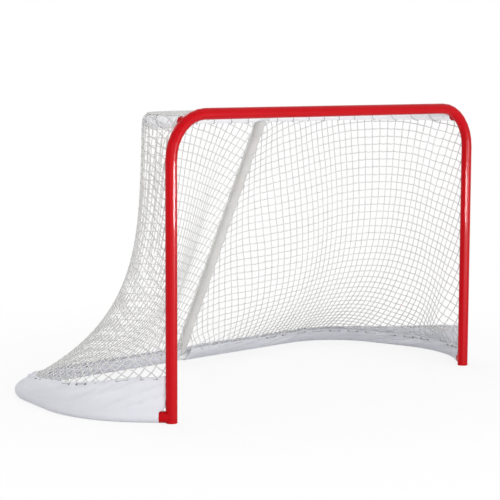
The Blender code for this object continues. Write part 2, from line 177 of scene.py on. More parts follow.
HEM_LONGEST = 1.3
FOLD_DEPTH = 0.006
FOLDS_ACROSS = 5.0
FOLD_START = 0.1
SLACK = 0.0020
CLIP_STEPS = 12
NOISE_SEED = 11

# Floor and light
FLOOR_HALF = 30.0
FLOOR_DROP = 0.0005
FLOOR_WHITE_SHARE = 0.80
FLOOR_SHADOW_START = 1.1
FLOOR_SHADOW_END = 2.6
WORLD_STRENGTH = 0.66
# Each lamp: name, place, target, size, power and whether it shows in gloss only
LAMPS = (
    ("key", (-3.4, -4.8, 2.6), (0, 0, 0.6), (2.4, 2.4), 118.0, False),
    ("fill", (1.8, -4.9, 0.9), (0.2, 0.3, 0.2), (2.4, 1.2), 42.0, False),
    ("back", (1.0, 4.5, 4.0), (0, 0, 0.6), (4.0, 2.5), 70.0, False),
    ("near_strip", (1.32, -5.1, 0.55), (0.0, -0.51, 0.9), (1.0, 0.5), 330.0, True),
    ("far_strip", (-3.67, -5.84, 0.3), (-0.94, -0.51, 0.85), (1.0, 0.5), 300.0, True),
)


def middle(node):
    low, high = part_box(node)
    return (low + high) / 2


def half_height(node):
    low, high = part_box(node)
    return (high.z - low.z) / 2


# Places read from the frame
CROSSBAR = middle("crossbar")
CROSSBAR_RADIUS = half_height("crossbar")
REAR_BASE = middle("rear_base_tube")
REAR_TOP = middle("rear_top_tube")
TUBE_RADIUS = half_height("rear_base_tube")
SKIRT_RADIUS = REAR_BASE.z - CLOTH_THICKNESS / 2
SLEEVE_RADIUS = half_height("left_top_sleeve")
PAD_RADIUS = (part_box("strut_pad")[1].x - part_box("strut_pad")[0].x) / 2
STRUT_RADIUS = (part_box("centre_strut")[1].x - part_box("centre_strut")[0].x) / 2
POST_X = middle("right_foot_plug").x
SHELF_X = middle("right_top_socket").x
MOUTH_Y = CROSSBAR.y
POST_RADIUS = CROSSBAR_RADIUS
POST_BEND_RADIUS = POST_X - SHELF_X
POST_BEND_HEIGHT = CROSSBAR.z - POST_BEND_RADIUS
SOCKET_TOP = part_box("right_foot_socket")[1].z
HALF_GAP_AT_STRUT = PAD_RADIUS + PAD_CLEARANCE
PADDING_RADIUS = PAD_RADIUS * PAD_COVER_SHARE
NET_GAP_AT_STRUT = PADDING_RADIUS + SEAM_GAP + HEM_CORD / 2
TOP_CORNER_RADIUS = REAR_TOP.y - MOUTH_Y - TOP_SOCKET_REACH - TOP_BEND_SETBACK

UP = Vector((0, 0, 1))
ACROSS = Vector((1, 0, 0))
SIDES = {"left": -1, "right": 1}


# Shader sums


class Value:
    """What a node gives, in sums that add Math nodes."""

    def __init__(self, finish, socket):
        self.finish = finish
        self.socket = socket

    def sum_node(self, operation, first, second):
        return self.finish.node("Math", {"operation": operation}, {0: first, 1: second})

    def __add__(self, other):
        return self.sum_node("ADD", self, other)

    def __radd__(self, other):
        return self.sum_node("ADD", other, self)

    def __sub__(self, other):
        return self.sum_node("SUBTRACT", self, other)

    def __rsub__(self, other):
        return self.sum_node("SUBTRACT", other, self)

    def __mul__(self, other):
        return self.sum_node("MULTIPLY", self, other)

    def __rmul__(self, other):
        return self.sum_node("MULTIPLY", other, self)


class Mixture:
    """Nodes of one material or of the world."""

    def __init__(self, tree):
        self.tree = tree

    def feed(self, socket, value):
        if isinstance(value, Value):
            self.tree.links.new(value.socket, socket)
        else:
            socket.default_value = value

    def node(self, kind, settings, sockets, output=0):
        made = self.tree.nodes.new("ShaderNode" + kind)
        for name, value in settings.items():
            if name == "stops":
                self.set_stops(made.color_ramp, value)
            else:
                setattr(made, name, value)
        for name, value in sockets.items():
            self.feed(made.inputs[name], value)
        return Value(self, made.outputs[output])

    def seen(self):
        """One for what the camera, a gloss or a glass sees, and nothing for what lights the goal."""
        camera = self.node("LightPath", {}, {}, "Is Camera Ray")
        glossy = self.node("LightPath", {}, {}, "Is Glossy Ray")
        glass = self.node("LightPath", {}, {}, "Is Transmission Ray")
        return camera + glossy + glass

    def set_stops(self, ramp, stops):
        for index, (position, shade) in enumerate(stops):
            if index < 2:
                element = ramp.elements[index]
                element.position = position
            else:
                element = ramp.elements.new(position)
            element.color = (shade, shade, shade, 1.0)


class Finish(Mixture):
    """One procedural material, built up on its shader."""

    def __init__(self, name, **fixed):
        self.material = bpy.data.materials.new(name)
        self.material.use_nodes = True
        super().__init__(self.material.node_tree)
        self.shader = self.tree.nodes["Principled BSDF"]
        for socket, value in fixed.items():
            self.feed(self.shader.inputs[socket.replace("_", " ")], value)
        self.place = self.node("TexCoord", {}, {}, "Object")

    def speckle(self, scale, detail=2.0, roughness=0.5):
        sockets = {"Vector": self.place, "Scale": scale, "Detail": detail, "Roughness": roughness}
        return self.node("TexNoise", {}, sockets, "Fac")

    def between(self, mask, first, second):
        """A colour that runs from one to another with a mask."""
        settings = {"data_type": "RGBA"}
        return self.node("Mix", settings, {0: mask, 6: (*first, 1.0), 7: (*second, 1.0)}, 2)

    def ramp(self, value, low, high):
        return self.node("ValToRGB", {"stops": ((low, 0.0), (high, 1.0))}, {"Fac": value}, "Color")

    def set(self, socket, value):
        self.feed(self.shader.inputs[socket], value)

    def bump(self, height, depth, strength=1.0):
        sockets = {"Height": height, "Distance": depth, "Strength": strength}
        self.set("Normal", self.node("Bump", {}, sockets, "Normal"))

    def let_through(self, colour, share):
        """A thin cloth, which glows in one even colour with a share of the light behind it."""
        glow = self.node("BsdfTranslucent", {}, {"Color": colour})
        thin = self.node("MixShader", {}, {0: share, 1: Value(self, self.shader.outputs[0]), 2: glow})
        self.feed(self.tree.nodes["Material Output"].inputs["Surface"], thin)


def red_enamel():
    finish = Finish("red_enamel", Specular_IOR_Level=0.05, Coat_Roughness=0.06, Coat_IOR=1.5)
    cloud = finish.speckle(5.0, 3.0)
    finish.set("Base Color", finish.between(cloud, (0.460, 0.0008, 0.0045), (0.535, 0.0018, 0.0078)))
    dust = finish.ramp(finish.speckle(60.0, 4.0), 0.50, 0.75)
    finish.set("Roughness", 0.30 + dust * 0.15)
    finish.set("Coat Weight", 0.08 - dust * 0.03)
    finish.bump(finish.speckle(260.0, 1.0), 0.0002, 0.25)
    return finish.material


def powder_coat():
    finish = Finish("white_powder_coat", IOR=1.4)
    grime = finish.ramp(finish.speckle(11.0, 5.0), 0.45, 0.80)
    finish.set("Base Color", finish.between(grime, (0.80, 0.80, 0.79), (0.72, 0.715, 0.70)))
    finish.set("Roughness", 0.38 + grime * 0.2)
    finish.bump(finish.speckle(900.0, 2.0), 0.0002, 0.5)
    return finish.material


def cover_cloth(name, share):
    """Coated white woven cloth, which lets a share of the light through where it hangs free."""
    finish = Finish(name, Sheen_Weight=0.1, Sheen_Roughness=0.5)
    cloud = finish.speckle(9.0, 4.0)
    finish.set("Base Color", finish.between(cloud, (0.89, 0.895, 0.94), (0.935, 0.94, 0.97)))
    finish.set("Roughness", 0.55 + cloud * 0.2)
    weave = finish.node("TexWave", {"bands_direction": "X"}, {"Vector": finish.place, "Scale": 420.0})
    weft = finish.node("TexWave", {"bands_direction": "Z"}, {"Vector": finish.place, "Scale": 420.0})
    creases = finish.speckle(26.0, 3.0)
    finish.bump(weave * 0.08 + weft * 0.08 + creases, 0.002, 0.6)
    if share:
        finish.let_through(CLOTH_GLOW, share)
    return finish.material


def shaded_pad_cloth():
    finish = Finish("shaded_pad_cloth", Sheen_Weight=0.1, Sheen_Roughness=0.5)
    cloud = finish.speckle(8.0, 4.0)
    # Partly painted shade: this grey-cream base colour is the pad's white cover darkened to stand for
    # the shade on the strut. The random cloud is the cover's own uneven tone.
    finish.set("Base Color", finish.between(cloud, (0.56, 0.555, 0.54), (0.65, 0.645, 0.63)))
    finish.set("Roughness", 0.45 + cloud * 0.2)
    finish.bump(finish.speckle(30.0, 3.0), 0.0015, 0.4)
    return finish.material


def net_cord():
    finish = Finish("net_cord")
    cloud = finish.speckle(5.0, 4.0)
    finish.set("Base Color", finish.between(cloud, (0.62, 0.62, 0.61), (0.74, 0.74, 0.73)))
    finish.set("Roughness", 0.75 + cloud * 0.15)
    finish.bump(finish.speckle(700.0, 2.0), 0.0006, 0.6)
    return finish.material


def lace_cord():
    finish = Finish("lace_cord")
    cloud = finish.speckle(12.0, 3.0)
    finish.set("Base Color", finish.between(cloud, (0.40, 0.40, 0.41), (0.54, 0.54, 0.55)))
    finish.set("Roughness", 0.7 + cloud * 0.15)
    finish.bump(finish.speckle(900.0, 2.0), 0.0005, 0.6)
    return finish.material


def zinc_steel():
    finish = Finish("zinc_steel", Metallic=1.0)
    spangle = finish.speckle(180.0, 3.0)
    finish.set("Base Color", finish.between(spangle, (0.45, 0.46, 0.48), (0.62, 0.63, 0.65)))
    finish.set("Roughness", 0.28 + spangle * 0.2)
    finish.bump(spangle, 0.0001, 0.4)
    return finish.material


def eyelet_steel():
    finish = Finish("eyelet_steel", Metallic=1.0)
    tarnish = finish.speckle(220.0, 3.0)
    # Partly painted shade: the near-black base colour stands for the dark holes of the eyelets. The
    # random tarnish varies the tone of the dark metal.
    finish.set("Base Color", finish.between(tarnish, (0.05, 0.05, 0.055), (0.14, 0.14, 0.15)))
    finish.set("Roughness", 0.35 + tarnish * 0.25)
    finish.bump(tarnish, 0.0001, 0.4)
    return finish.material


def black_plastic():
    finish = Finish("black_plastic")
    grain = finish.speckle(500.0, 2.0)
    finish.set("Base Color", finish.between(grain, (0.014, 0.014, 0.015), (0.028, 0.028, 0.029)))
    finish.set("Roughness", 0.45 + grain * 0.2)
    finish.bump(grain, 0.0002, 0.5)
    return finish.material


FINISHES = {
    "red_enamel": red_enamel(),
    "white_powder_coat": powder_coat(),
    "zinc_steel": zinc_steel(),
    "black_plastic": black_plastic(),
    "cover_cloth": cover_cloth("cover_cloth", 0.0),
    "net_cord": net_cord(),
}
LACE_CORD = lace_cord()
SKIRT_CLOTH = cover_cloth("skirt_cloth", CLOTH_LET_THROUGH)
PAD_CLOTH = shaded_pad_cloth()
EYELET_STEEL = eyelet_steel()


def finish_frame():
    for part in frame["record"]["subparts"]:
        node = frame["nodes"][part["node"]]
        material = FINISHES[part["material_slot"]]
        for slot in node.material_slots:
            slot.material = material


# Lines that the tubes follow


class Route:
    """A line with round bends, asked for its place and heading at a distance along it."""

    def __init__(self, corners, radii):
        heading = (corners[1] - corners[0]).normalized()
        self.stops = [(corners[0], heading)]
        for before, corner, after, radius in zip(corners, corners[1:], corners[2:], radii):
            self.bend(before, corner, after, radius)
        heading = (corners[-1] - corners[-2]).normalized()
        self.stops.append((corners[-1], heading))
        self.total = [0.0]
        for (here, _), (there, _) in zip(self.stops, self.stops[1:]):
            self.total.append(self.total[-1] + (there - here).length)
        self.length = self.total[-1]

    def bend(self, before, corner, after, radius):
        arriving = (corner - before).normalized()
        leaving = (after - corner).normalized()
        turn = arriving.angle(leaving)
        inward = (leaving - arriving).normalized()
        centre = corner + inward * radius / math.cos(turn / 2)
        spoke = corner - arriving * radius * math.tan(turn / 2) - centre
        axis = arriving.cross(leaving).normalized()
        steps = max(2, round(turn / BEND_STEP))
        for step in range(steps + 1):
            rotation = Matrix.Rotation(turn * step / steps, 3, axis)
            self.stops.append((centre + rotation @ spoke, rotation @ arriving))

    def at(self, distance):
        distance = min(self.length, max(0.0, distance))
        index = 1
        while index < len(self.stops) - 1 and distance > self.total[index]:
            index += 1
        span = self.total[index] - self.total[index - 1]
        share = (distance - self.total[index - 1]) / span if span else 0.0
        point = self.stops[index - 1][0].lerp(self.stops[index][0], share)
        heading = self.stops[index - 1][1].lerp(self.stops[index][1], share).normalized()
        return point, heading

    def nearest(self, target):
        gaps = [(point - target).length for point, _ in self.stops]
        return self.total[gaps.index(min(gaps))]


def ground_corner(side):
    return Vector((side * (POST_X + BASE_CORNER_BULGE), REAR_BASE.y, REAR_BASE.z))


def ground_route(side, start, end_x):
    foot = Vector((side * POST_X, MOUTH_Y, REAR_BASE.z))
    bulge = Vector((side * (POST_X + BASE_BULGE), MOUTH_Y + BASE_BULGE_DEPTH, REAR_BASE.z))
    begin = foot + (bulge - foot).normalized() * start
    end = Vector((side * end_x, REAR_BASE.y, REAR_BASE.z))
    corners = [begin, bulge, ground_corner(side), end]
    return Route(corners, [BASE_BULGE_RADIUS, BASE_CORNER_RADIUS])


def shelf_route(side, start, end_x, height):
    corners = [
        Vector((side * SHELF_X, MOUTH_Y + start, height)),
        Vector((side * SHELF_X, REAR_TOP.y, height)),
        Vector((side * end_x, REAR_TOP.y, height)),
    ]
    return Route(corners, [TOP_CORNER_RADIUS])


def outward(heading, side):
    return heading.cross(UP).normalized() * side


def ease(value):
    clipped = min(1.0, max(0.0, value))
    return clipped * clipped * (3 - 2 * clipped)


def lace_height(share):
    left = max(0.0, 1.0 - share)
    return LACE_HEIGHT_REAR + (LACE_HEIGHT_POST - LACE_HEIGHT_REAR) * left ** LACE_FALL_POWER


def inner_height(distance):
    return INNER_HEIGHT_POST + (INNER_HEIGHT_REAR - INNER_HEIGHT_POST) * ease(distance / INNER_FALL_RUN)


def lace_inset(distance):
    return LACE_INSET_POST + (LACE_INSET - LACE_INSET_POST) * ease(distance / LACE_INSET_RUN)


def beside_tube(route, distance, side, across, rise):
    """A point beside the ground tube: so far outward and so far up from its middle.

    Near the post, what clears the socket reaches forward to the post itself.
    """
    point, heading = route.at(distance)
    point = point + outward(heading, side) * across + UP * rise
    forward = FOOT_SOCKET_REACH + JOINT_GAP - POST_RADIUS - FRONT_GAP
    clear = ease((point.z - SOCKET_TOP) / FRONT_NOTCH_RISE)
    return point - heading * forward * clear * max(0.0, 1 - distance / FRONT_RUN)


# Mesh making


def spoke(lift, aside, part):
    """A direction a part of the way round, from lift towards aside."""
    turn = 2 * math.pi * part
    return lift * math.cos(turn) + aside * math.sin(turn)


class Strands:
    """Gathers round cords into one mesh."""

    def __init__(self):
        self.points = []
        self.faces = []

    def cord(self, line, radii, sides=CORD_SIDES):
        """One round cord along a line, with a radius at each of its points."""
        first = len(self.points)
        lift = None
        for index, point in enumerate(line):
            ahead = line[min(index + 1, len(line) - 1)]
            behind = line[max(index - 1, 0)]
            heading = (ahead - behind).normalized()
            if lift is None:
                lift = heading.orthogonal().normalized()
            lift = (lift - heading * lift.dot(heading)).normalized()
            aside = heading.cross(lift)
            for side in range(sides):
                self.points.append(point + spoke(lift, aside, side / sides) * radii[index])
        for index in range(len(line) - 1):
            start = first + index * sides
            for side in range(sides):
                after = (side + 1) % sides
                there = start + sides
                self.faces.append((start + side, start + after, there + after, there + side))
        self.faces.append(tuple(range(first + sides - 1, first - 1, -1)))
        last = first + (len(line) - 1) * sides
        self.faces.append(tuple(range(last, last + sides)))

    def ring(self, centre, axis, radius, bead, around, across):
        """A small round eyelet."""
        first = len(self.points)
        lift = axis.orthogonal().normalized()
        aside = axis.cross(lift)
        for index in range(around):
            out = spoke(lift, aside, index / around)
            for step in range(across):
                lean = 2 * math.pi * step / across
                reach = radius + bead * math.cos(lean)
                self.points.append(centre + out * reach + axis * bead * math.sin(lean))
        for index in range(around):
            here = first + index * across
            there = first + (index + 1) % around * across
            for step in range(across):
                after = (step + 1) % across
                self.faces.append((here + step, there + step, there + after, here + after))

    def piece(self, name, material, slot):
        return make_piece(name, self.points, self.faces, material)


def thicken(piece):
    """Cloth thickness on a sheet, half to each side."""
    cloth = piece.modifiers.new("cloth_thickness", "SOLIDIFY")
    cloth.thickness = CLOTH_THICKNESS
    cloth.offset = 0.0


def make_piece(name, points, faces, material):
    mesh = bpy.data.meshes.new(name)
    mesh.from_pydata([tuple(point) for point in points], [], faces)
    mesh.materials.append(material)
    mesh.shade_smooth()
    piece = bpy.data.objects.new(name, mesh)
    bpy.context.scene.collection.objects.link(piece)
    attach(piece, "root")
    return piece


def grid_faces(rows, columns, wrap):
    """Quads over rows of points, which close into rings where they wrap."""
    faces = []
    for row in range(rows - 1):
        for column in range(columns if wrap else columns - 1):
            after = (column + 1) % columns
            here = row * columns
            there = here + columns
            faces.append((here + column, here + after, there + after, there + column))
    return faces


# Ground skirts


class Section:
    """The skirt cut across at one place.

    It goes round the tube and rises from it in two flaps, the outer one higher.
    """

    def __init__(self, distance, corner):
        apex = Vector((-lace_inset(distance), lace_height(distance / corner) - REAR_BASE.z))
        lean = math.atan2(apex.y, apex.x)
        spread = math.acos(SKIRT_RADIUS / apex.length)
        self.outer_turn = lean - spread
        self.inner_turn = lean + spread - 2 * math.pi
        self.outer_foot = Vector((math.cos(self.outer_turn), math.sin(self.outer_turn))) * SKIRT_RADIUS
        self.inner_foot = Vector((math.cos(self.inner_turn), math.sin(self.inner_turn))) * SKIRT_RADIUS
        gap = (self.outer_foot.normalized() - self.inner_foot.normalized()) * SKIRT_EDGE_GAP / 2
        self.outer_edge = apex + gap
        share = (inner_height(distance) - REAR_BASE.z - self.inner_foot.y) / (apex.y - self.inner_foot.y)
        self.inner_edge = self.inner_foot.lerp(apex - gap, share)
        self.apex = apex

    def outline(self):
        """From the inner edge down, round the tube and up to the outer edge.

        Each point is (outward, height, share of the slope), and the share is negative on the inner flap.
        """
        points = []
        for step in range(SKIRT_SLOPE_STEPS):
            share = 1 - step / SKIRT_SLOPE_STEPS
            point = self.inner_foot.lerp(self.inner_edge, share)
            points.append((point.x, point.y, -share))
        for step in range(SKIRT_TURN_STEPS + 1):
            turn = self.inner_turn + (self.outer_turn - self.inner_turn) * step / SKIRT_TURN_STEPS
            points.append((SKIRT_RADIUS * math.cos(turn), SKIRT_RADIUS * math.sin(turn), 0.0))
        for step in range(1, SKIRT_SLOPE_STEPS + 1):
            share = step / SKIRT_SLOPE_STEPS
            point = self.outer_foot.lerp(self.outer_edge, share)
            points.append((point.x, point.y, share))
        return points

    def eyelet(self, face, lift):
        """A spot by a flap's edge, lifted off the cloth.

        Face is 1 for the outer flap and -1 for the inner one.
        """
        edge = self.outer_edge if face > 0 else self.inner_edge
        foot = self.outer_foot if face > 0 else self.inner_foot
        down = (foot - edge).normalized()
        normal = Vector((-down.y, down.x))
        if normal.x * face < 0:
            normal = -normal
        return edge + down * EYELET_DROP + normal * lift


def wrinkle(distance, share, side):
    """How far the taut cloth stands off its slope.

    It has swells, slanting creases and a pucker at each eyelet.
    """
    rise = abs(share)
    flap = math.copysign(FLAPS_APART, share)
    slant = distance * CREASE_PITCH + rise * CREASE_SLANT
    swell = noise.noise(Vector((slant * SWELL_ALONG, rise * SWELL_UP, side * SWELLS_APART + flap)))
    crease = noise.noise(Vector((slant * CREASE_ALONG, rise * CREASE_UP, side * CREASES_APART + flap)))
    ridge = max(0.0, 1 - abs(crease) * CREASE_SHARPNESS) ** 2
    pucker = math.cos(2 * math.pi * distance / EYELET_PITCH)
    sway = math.sin(math.pi * min(1.0, rise)) ** SWAY_POWER
    return (swell * SWELL_DEPTH + ridge * CREASE_DEPTH) * sway + pucker * PUCKER_DEPTH * rise ** 3


def skirt(label, side):
    route = ground_route(side, FOOT_SOCKET_REACH + JOINT_GAP, HALF_GAP_AT_STRUT)
    corner = route.nearest(ground_corner(side))
    rows = math.ceil(route.length / SKIRT_STEP) + 1
    points = []
    widest = 0.0
    for row in range(rows):
        distance = route.length * row / (rows - 1)
        outline = Section(distance, corner).outline()
        girth = sum(math.dist(here[:2], there[:2]) for here, there in zip(outline, outline[1:]))
        widest = max(widest, girth)
        for index, (across, rise, share) in enumerate(outline):
            ahead = outline[min(index + 1, len(outline) - 1)]
            behind = outline[max(index - 1, 0)]
            run = Vector((ahead[0] - behind[0], ahead[1] - behind[1])).normalized()
            lift = wrinkle(distance, share, side) if share else 0.0
            points.append(beside_tube(route, distance, side, across + run.y * lift, rise - run.x * lift))
    columns = len(outline)
    piece = make_piece(
        label + "_skirt_cloth", points, grid_faces(rows, columns, False), SKIRT_CLOTH
    )
    thicken(piece)
    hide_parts(label + "_skirt")
    skirt_lacing(label, side, route, corner)


def skirt_lacing(label, side, route, corner):
    """Eyelets along each flap, and the cord that dips in and out of them."""
    eyelets = Strands()
    lace = Strands()
    stand = CLOTH_THICKNESS / 2 + LACE_RADIUS
    count = int((route.length - EYELET_PITCH / 2) / EYELET_PITCH)
    for face in (1, -1):
        line = []
        for index in range(count):
            distance = EYELET_PITCH * (index + 0.5)
            section = Section(distance, corner)
            spots = []
            for lift in (stand, -stand):
                spot = section.eyelet(face, lift)
                spots.append(beside_tube(route, distance, side, spot.x, spot.y))
            axis = (spots[0] - spots[1]).normalized()
            centre = (spots[0] + spots[1]) / 2
            eyelets.ring(centre, axis, EYELET_RADIUS, EYELET_BEAD, EYELET_SIDES, EYELET_BEAD_SIDES)
            line.extend(spots if index % 2 else reversed(spots))
        smooth = smooth_line(line, LACE_SMOOTH_STEPS)
        lace.cord(smooth, [LACE_RADIUS] * len(smooth))
    lace.piece(label + "_skirt_lacing", LACE_CORD, "net_cord")
    eyelets.piece(label + "_skirt_eyelets", EYELET_STEEL, "zinc_steel")


def smooth_line(line, steps):
    """A curve through the points of a line."""
    curve = []
    for index in range(len(line) - 1):
        before = line[max(index - 1, 0)]
        start = line[index]
        end = line[index + 1]
        after = line[min(index + 2, len(line) - 1)]
        for step in range(steps):
            share = step / steps
            curve.append(
                0.5
                * (
                    2 * start
                    + (end - before) * share
                    + (2 * before - 5 * start + 4 * end - after) * share ** 2
                    + (3 * start - before - 3 * end + after) * share ** 3
                )
            )
    curve.append(line[-1])
    return curve


# Padded covers on the shelf and the strut


def around_line(route, distance, square):
    """The place at a distance along a line, with the directions to lift and to aside of it."""
    point, heading = route.at(distance)
    lift = square if square else UP
    return point, lift, heading.cross(lift).normalized()


def cover(name, route, square, outer_radius, inner_radius, node):
    """A closed padded tube, a little uneven, with rounded ends.

    Its points run along the outside and come back along the inside.
    """
    rows = math.ceil(route.length / COVER_STEP) + 1
    points = []
    for row in range(rows):
        distance = route.length * row / (rows - 1)
        point, lift, aside = around_line(route, distance, square)
        end = min(distance, route.length - distance)
        shoulder = COVER_END_ROUND * (1 - ease(end / (2 * COVER_END_ROUND)))
        for index in range(COVER_SIDES):
            turn = 2 * math.pi * index / COVER_SIDES
            lump = Vector((0.0, math.cos(turn), math.sin(turn))) * COVER_LUMPS_AROUND
            lump.x = distance * COVER_LUMPS_ALONG
            soft = noise.noise(lump)
            radius = outer_radius - shoulder - COVER_UNEVEN + COVER_UNEVEN * soft
            points.append(point + spoke(lift, aside, index / COVER_SIDES) * radius)
    for row in range(rows):
        point, lift, aside = around_line(route, route.length * (rows - 1 - row) / (rows - 1), square)
        for index in range(COVER_SIDES):
            points.append(point + spoke(lift, aside, index / COVER_SIDES) * inner_radius)
    faces = grid_faces(2 * rows, COVER_SIDES, True)
    last = (2 * rows - 1) * COVER_SIDES
    for index in range(COVER_SIDES):
        after = (index + 1) % COVER_SIDES
        faces.append((last + index, last + after, after, index))
    cloth = PAD_CLOTH if square else FINISHES["cover_cloth"]
    piece = make_piece(name, points, faces, cloth)
    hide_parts(node)


def winding(name, route, square, wide, deep, pitch, material):
    """A lacing cord that winds round a cover."""
    lace = Strands()
    turns = int(route.length / pitch)
    line = []
    for step in range(turns * WINDING_STEPS + 1):
        distance = pitch * step / WINDING_STEPS + (route.length - turns * pitch) / 2
        point, lift, aside = around_line(route, distance, square)
        turn = 2 * math.pi * step / WINDING_STEPS
        line.append(point + aside * math.sin(turn) * wide + lift * math.cos(turn) * deep)
    lace.cord(line, [LACE_RADIUS] * len(line))
    lace.piece(name, material, "net_cord")


def shelf_loops(label, side, route):
    """The cord that loops along the top of a sleeve and ties the top net to the hung nets."""
    loops = Strands()
    line = []
    for step in range(int(route.length / SHELF_LOOP_PITCH) * SHELF_LOOP_STEPS + 1):
        distance = SHELF_LOOP_PITCH * step / SHELF_LOOP_STEPS
        point, heading = route.at(distance)
        phase = 2 * math.pi * step / SHELF_LOOP_STEPS
        along = heading * SHELF_LOOP_PITCH * SHELF_LOOP_SWING * math.sin(phase)
        across = SHELF_LOOP_WIDTH * math.cos(phase)
        rest = SHELF_LOOP_RADIUS + HEM_CORD * SHELF_LOOP_REST
        height = math.sqrt(SLEEVE_RADIUS ** 2 - across ** 2) + rest
        line.append(point + along + outward(heading, side) * across + UP * height)
    loops.cord(line, [SHELF_LOOP_RADIUS] * len(line))
    loops.piece(label + "_shelf_loops", FINISHES["net_cord"], "net_cord")


def socket_cuff(label, side):
    """The sleeve cloth's front end, pulled over the socket and its bolt head as far as the post."""
    start = CROSSBAR_RADIUS + SEAM_GAP
    length = TOP_SOCKET_REACH - start
    route = shelf_route(side, start, HALF_GAP_AT_STRUT, REAR_TOP.z)
    radius = SLEEVE_RADIUS - CLOTH_THICKNESS
    bolt_head = middle(label + "_top_bolt")
    bolt_head.x = side * (SHELF_X + radius)
    points = []
    for row in range(CUFF_STEPS + 1):
        point, lift, aside = around_line(route, length * row / CUFF_STEPS, None)
        for index in range(CUFF_SIDES):
            out = spoke(lift, aside, index / CUFF_SIDES)
            away = (point + out * radius - bolt_head).length / CUFF_BULGE_SPREAD
            points.append(point + out * (radius + CUFF_BULGE * math.exp(-away ** 2)))
    faces = grid_faces(CUFF_STEPS + 1, CUFF_SIDES, True)
    piece = make_piece(label + "_socket_cuff", points, faces, FINISHES["cover_cloth"])
    thicken(piece)


def shelf_sleeve(label, side):
    route = shelf_route(side, TOP_SOCKET_REACH + JOINT_GAP, HALF_GAP_AT_STRUT, REAR_TOP.z)
    inside = TUBE_RADIUS + COVER_SLACK
    cover(label + "_shelf_cover", route, None, SLEEVE_RADIUS, inside, label + "_top_sleeve")
    around = SLEEVE_RADIUS + LACE_RADIUS
    winding(label + "_shelf_lacing", route, None, around, around, SHELF_LACE_PITCH, LACE_CORD)
    shelf_loops(label, side, route)
    socket_cuff(label, side)


def strut_pad():
    foot = Vector((0, REAR_BASE.y, REAR_BASE.z))
    head = Vector((0, REAR_TOP.y, REAR_TOP.z))
    heading = (head - foot).normalized()
    clear = TUBE_RADIUS + 2 * JOINT_GAP
    route = Route([foot + heading * clear, head - heading * clear], [])
    square = heading.cross(ACROSS).normalized()
    cover("strut_pad_cover", route, square, PADDING_RADIUS, STRUT_RADIUS + JOINT_GAP, "strut_pad")
    wide = NET_GAP_AT_STRUT + HEM_CORD / 2 + LACE_RADIUS
    deep = PADDING_RADIUS + LACE_RADIUS
    winding("strut_lacing", route, square, wide, deep, STRUT_LACE_PITCH, FINISHES["net_cord"])


# Net


def net_point(top, bottom, drop, across_share, back_share):
    return Vector((
        top.x + (bottom.x - top.x) * across_share,
        top.y + (bottom.y - top.y) * back_share,
        top.z + (bottom.z - top.z) * drop,
    ))


def flare(drop):
    return NET_FLARE_LINEAR * drop + (1 - NET_FLARE_LINEAR) * drop ** NET_FLARE_POWER


def beside_post(top, bottom, drop):
    """How far across a cord has gone that follows the post's bend down."""
    height = top.z + (bottom.z - top.z) * drop
    above = min(POST_BEND_RADIUS, max(0.0, height - POST_BEND_HEIGHT))
    post = SHELF_X + math.sqrt(POST_BEND_RADIUS ** 2 - above ** 2)
    share = (post - abs(top.x)) / (abs(bottom.x) - abs(top.x))
    return share * ease(drop / NET_POST_BLEND)


def side_fall(share, drop, top, bottom):
    free = flare(drop)
    held = beside_post(top, bottom, drop)
    return held + (free - held) * ease(share / NET_POST_SHARE), free


def back_fall(share, drop, top, bottom):
    blend = ease((share - 1 + NET_STRUT_SHARE) / NET_STRUT_SHARE)
    swing = flare(drop) + (drop - flare(drop)) * blend
    return swing, swing


def strut_depth(height):
    share = (height - REAR_BASE.z) / (REAR_TOP.z - REAR_BASE.z)
    return REAR_BASE.y + (REAR_TOP.y - REAR_BASE.y) * share


